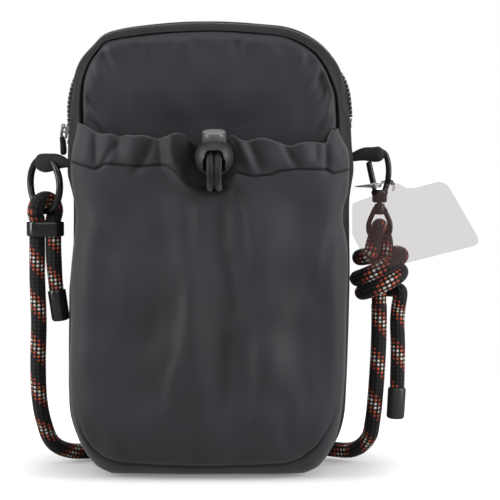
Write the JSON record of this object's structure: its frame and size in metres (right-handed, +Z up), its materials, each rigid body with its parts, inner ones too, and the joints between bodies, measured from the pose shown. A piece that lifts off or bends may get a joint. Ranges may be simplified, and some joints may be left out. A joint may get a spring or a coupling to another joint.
{
  "type": "crossbody phone pouch",
  "caption": "Upright nylon pouch with a gathered front pocket, ball cord lock, zip over the top, clear tag and a rope crossbody strap on a ring and a swivel snap hook.",
  "frame": {"origin": "middle of the flat base on the ground", "axes": "+Z up, the front pocket faces -Y, +X to the right seen from the front"},
  "size_m": [0.2133, 0.1747, 0.214],
  "materials": {
    "nylon": "satin charcoal nylon",
    "webbing": "matt black webbing",
    "zip_teeth": "satin",
    "rope": "braid with small coloured checks",
    "drawcord": "elastic cord",
    "black_metal": "gloss black",
    "gunmetal": "dark polished",
    "steel": "plain",
    "satin_plastic": "satin dark grey",
    "gloss_plastic": "gloss black",
    "clear_plastic": "thin clear sheet"
  },
  "bodies": {
    "bag": {"back_panel": "nylon", "front_panel": "nylon", "gusset_base": "nylon", "zip_gusset_front": "nylon", "zip_gusset_back": "nylon", "zip_tape_front": "webbing", "zip_tape_back": "webbing", "zip_chain": "zip_teeth", "zip_stop_left": "gunmetal", "zip_stop_right": "gunmetal", "pocket_panel": "nylon", "pocket_casing": "nylon", "drawcord_left": "drawcord", "drawcord_right": "drawcord", "tab_left": "webbing", "tab_right": "webbing", "strap_run_left": "rope", "strap_coil": "rope", "strap_run_right": "rope"},
    "slider": {"zip_slider": "gunmetal"},
    "pull": {"pull_link": "gunmetal", "pull_tab": "webbing"},
    "cord_lock": {"lock_body": "satin_plastic", "lock_spring": "steel"},
    "lock_button": {"lock_plunger": "gunmetal"},
    "ring": {"left_ring": "black_metal", "strap_loop_left": "rope", "clamp_band": "gloss_plastic", "tail_cap_left": "gloss_plastic"},
    "hook": {"hook_frame": "black_metal", "gate_pin": "steel"},
    "gate": {"hook_gate": "black_metal"},
    "swivel": {"swivel_eye": "black_metal", "strap_knot": "rope", "tail_cap_right": "satin_plastic"},
    "tag": {"clear_tag": "clear_plastic"}
  },
  "joints": [
    {"name": "zip_travel", "type": "hinge", "parent": "bag", "child": "slider", "pos_m": [-0.028, 0, 0.17206], "axis": [0, 1, 0], "range_deg": [0, 84], "deforming": ["zip_chain"]},
    {"name": "pull_swing", "type": "hinge", "parent": "slider", "child": "pull", "pos_m": [-0.0686, 0, 0.16366], "axis": [0, 1, 0], "range_deg": [0, 110]},
    {"name": "lock_slide", "type": "slide", "parent": "bag", "child": "cord_lock", "axis": [0, -1, 0], "range_m": [0, 0.012], "deforming": ["drawcord_left", "drawcord_right"]},
    {"name": "button_press", "type": "slide", "parent": "cord_lock", "child": "lock_button", "axis": [0, 0, -1], "range_m": [0, 0.003], "stiffness_N_per_m": 400, "springref_m": -0.002, "deforming": ["lock_spring"]},
    {"name": "ring_swing", "type": "hinge", "parent": "bag", "child": "ring", "pos_m": [-0.0775, -0.004, 0.14965], "axis": [-0.6018, 0.7986, 0], "range_deg": [0, 60], "deforming": ["tab_left", "strap_run_left"]},
    {"name": "hook_swing", "type": "hinge", "parent": "bag", "child": "hook", "pos_m": [0.0802, 0, 0.1527], "axis": [-1, 0, 0], "range_deg": [-40, 60], "deforming": ["tab_right", "strap_run_right"]},
    {"name": "gate_open", "type": "hinge", "parent": "hook", "child": "gate", "pos_m": [0.078, 0, 0.1328], "axis": [0, 1, 0], "range_deg": [0, 20], "stiffness_Nm_per_rad": 0.03, "springref_deg": -11.46, "deforming": ["tab_right"]},
    {"name": "swivel_turn", "type": "hinge", "parent": "hook", "child": "swivel", "pos_m": [0.0802, 0, 0.128], "axis": [0, 0, 1], "continuous": true, "deforming": ["strap_run_right"]},
    {"name": "tag_lift", "type": "hinge", "parent": "hook", "child": "tag", "pos_m": [0.0802, 0, 0.137], "axis": [-1, 0, 0], "range_deg": [0, 32]}
  ]
}
